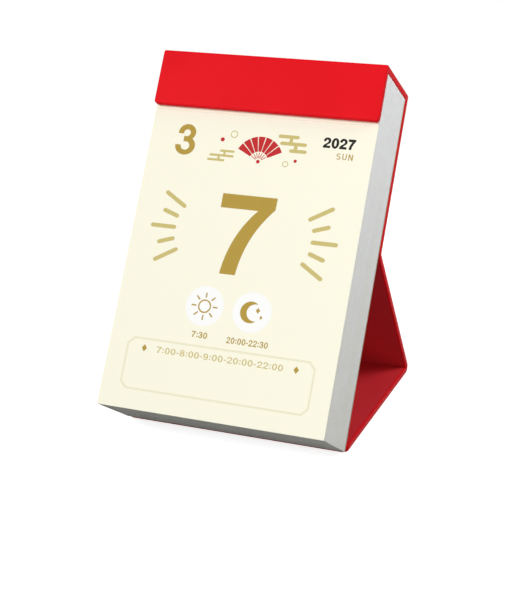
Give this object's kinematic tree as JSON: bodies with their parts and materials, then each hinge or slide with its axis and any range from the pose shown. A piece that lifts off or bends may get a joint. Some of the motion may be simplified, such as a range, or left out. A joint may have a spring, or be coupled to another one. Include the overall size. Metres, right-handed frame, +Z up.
{
  "type": "tear-off day calendar",
  "caption": "Thick pad of tear-off day leaves bound under a header in a wrapped board case that folds into a leaning desk stand.",
  "frame": {"origin": "on the table, below the middle of the bounding box", "axes": "+Z up, the page faces -Y, +X to the reader's right"},
  "size_m": [0.0978, 0.1212, 0.1502],
  "materials": {
    "cover_paper": "matte",
    "lining_paper": "matte",
    "grey_board": "matte",
    "chipboard": "matte",
    "leaf_paper": "matte",
    "printed_leaf": "matte",
    "glue": "satin",
    "staple_wire": "satin"
  },
  "bodies": {
    "base": {"base_cover": "cover_paper", "base_board": "grey_board", "base_lining": "lining_paper", "rear_fold_paper": "cover_paper"},
    "support": {"support_cover": "cover_paper", "support_board": "grey_board", "support_lining": "lining_paper"},
    "next_leaf": {"next_leaf": "printed_leaf"},
    "today_leaf": {"today_leaf": "printed_leaf"},
    "pad": {"april_leaves": "leaf_paper", "august_leaves": "leaf_paper", "back_board": "grey_board", "back_cover": "cover_paper", "back_glue": "glue", "backing_board": "chipboard", "binding_staples": "staple_wire", "closing_flap": "cover_paper", "december_leaves": "leaf_paper", "flap_tapes": "glue", "header_board": "grey_board", "header_cover": "cover_paper", "header_glue": "glue", "july_leaves": "leaf_paper", "june_leaves": "leaf_paper", "march_leaves": "leaf_paper", "may_leaves": "leaf_paper", "next_stub": "leaf_paper", "november_leaves": "leaf_paper", "october_leaves": "leaf_paper", "padding_glue": "glue", "september_leaves": "leaf_paper", "spine_board": "grey_board", "spine_cover": "cover_paper", "spine_glue": "glue", "today_stub": "leaf_paper"}
  },
  "joints": [
    {"name": "rear_fold", "type": "hinge", "parent": "base", "child": "support", "pos_m": [0, 0.05777, 0.0028], "axis": [-1, 0, 0], "range_deg": [0, 125.17], "deforming": ["rear_fold_paper"]},
    {"name": "back_fold", "type": "hinge", "parent": "support", "child": "pad", "pos_m": [0, 0.01108, 0.07166], "axis": [1, 0, 0], "range_deg": [0, 65.17]},
    {"name": "leaf_lift", "type": "hinge", "parent": "pad", "child": "next_leaf", "pos_m": [0, 0.00243, 0.12747], "axis": [-1, 0, 0], "range_deg": [0, 106]},
    {"name": "leaf_tear_off", "type": "slide", "parent": "next_leaf", "child": "today_leaf", "axis": [0, -1, 0], "range_m": [0, 0.08]}
  ],
  "couplings": [
    {"joint": "back_fold", "follows": "rear_fold", "ratio": 0.52063}
  ]
}
